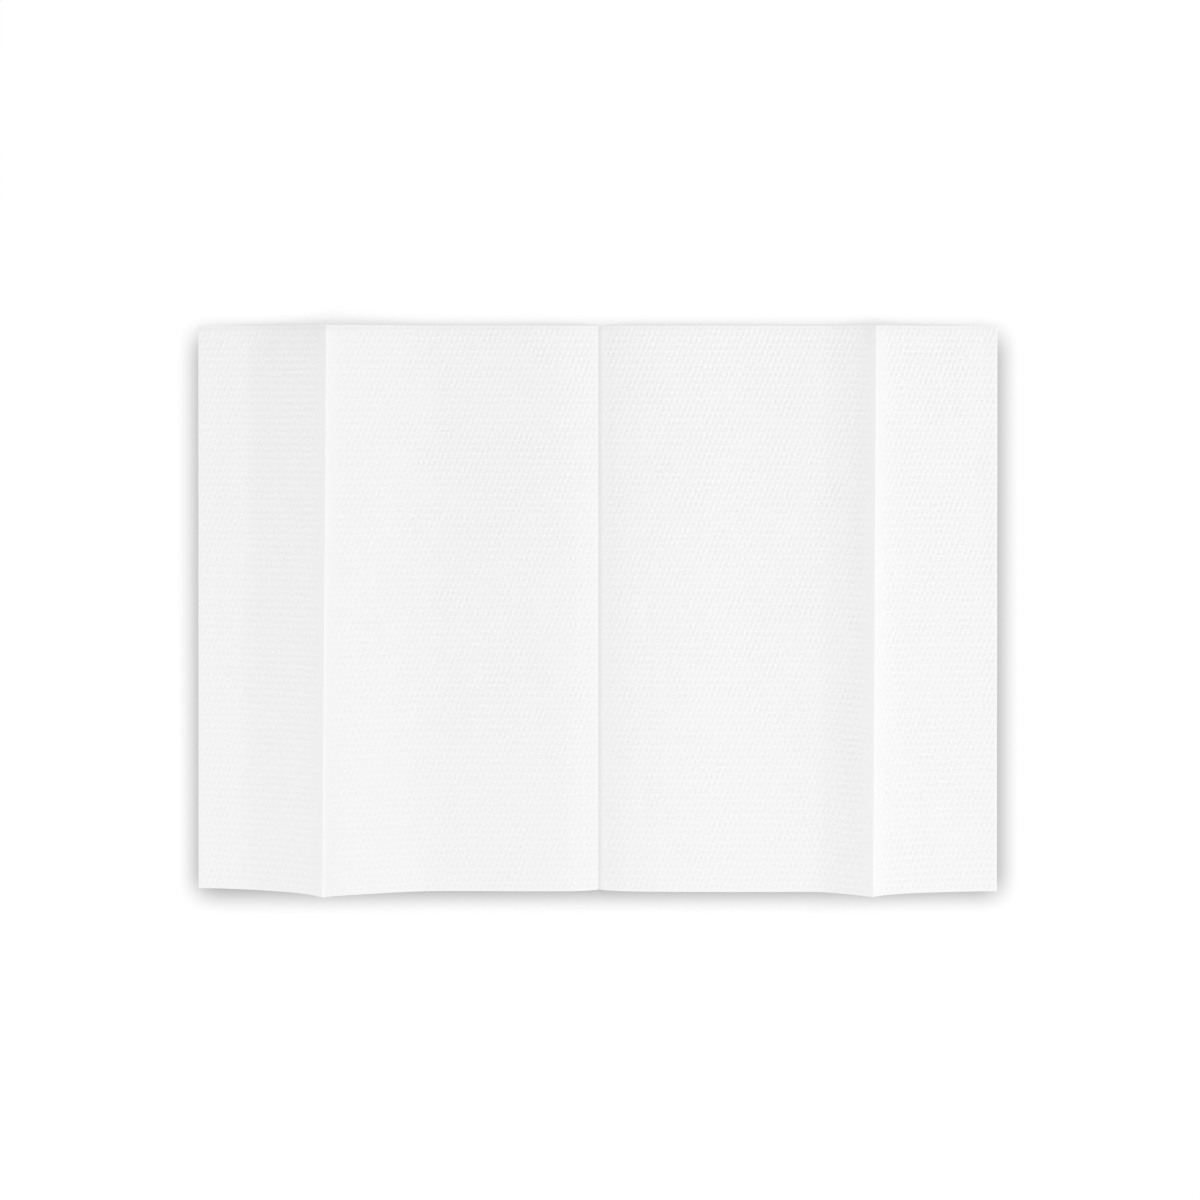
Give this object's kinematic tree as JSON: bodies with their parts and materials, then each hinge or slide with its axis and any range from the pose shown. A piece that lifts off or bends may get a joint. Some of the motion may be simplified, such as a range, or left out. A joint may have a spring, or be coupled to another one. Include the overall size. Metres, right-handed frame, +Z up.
{
  "type": "paper hand towel",
  "caption": "Embossed paper hand towel pulled from a folded stack and laid open, its creases still standing as low ridges beside a valley.",
  "frame": {"origin": "middle of the sheet's footprint, at table level", "axes": "+X across the creases towards the edge beside the lower ridge, +Y along the creases, +Z up from the table"},
  "size_m": [0.2402, 0.17, 0.0051],
  "materials": {
    "paper": "soft matt white tissue with a fine emboss"
  },
  "bodies": {
    "root": {"towel_sheet": "paper"}
  },
  "joints": []
}
